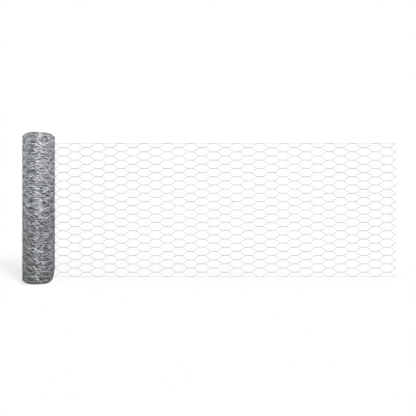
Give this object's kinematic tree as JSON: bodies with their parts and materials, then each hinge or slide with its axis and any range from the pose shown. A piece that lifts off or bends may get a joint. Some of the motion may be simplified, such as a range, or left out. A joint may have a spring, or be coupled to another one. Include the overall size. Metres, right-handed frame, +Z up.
{
  "type": "roll of chicken wire",
  "caption": "Roll of galvanised hexagonal wire netting standing on its end, with a length drawn off flat from its back along a tangent.",
  "frame": {"origin": "on the roll's axis at the floor, at the lower mouth of the bore", "axes": "+Z up along the roll's axis, +X along the drawn-off length, +Y towards the side of the roll that the length leaves"},
  "size_m": [1.6797, 0.1412, 0.665],
  "materials": {
    "galvanised_wire": "zinc-coated steel wire, dull grey"
  },
  "bodies": {
    "root": {"rolled_netting": "galvanised_wire", "drawn_netting_1": "galvanised_wire", "drawn_netting_2": "galvanised_wire"}
  },
  "joints": []
}
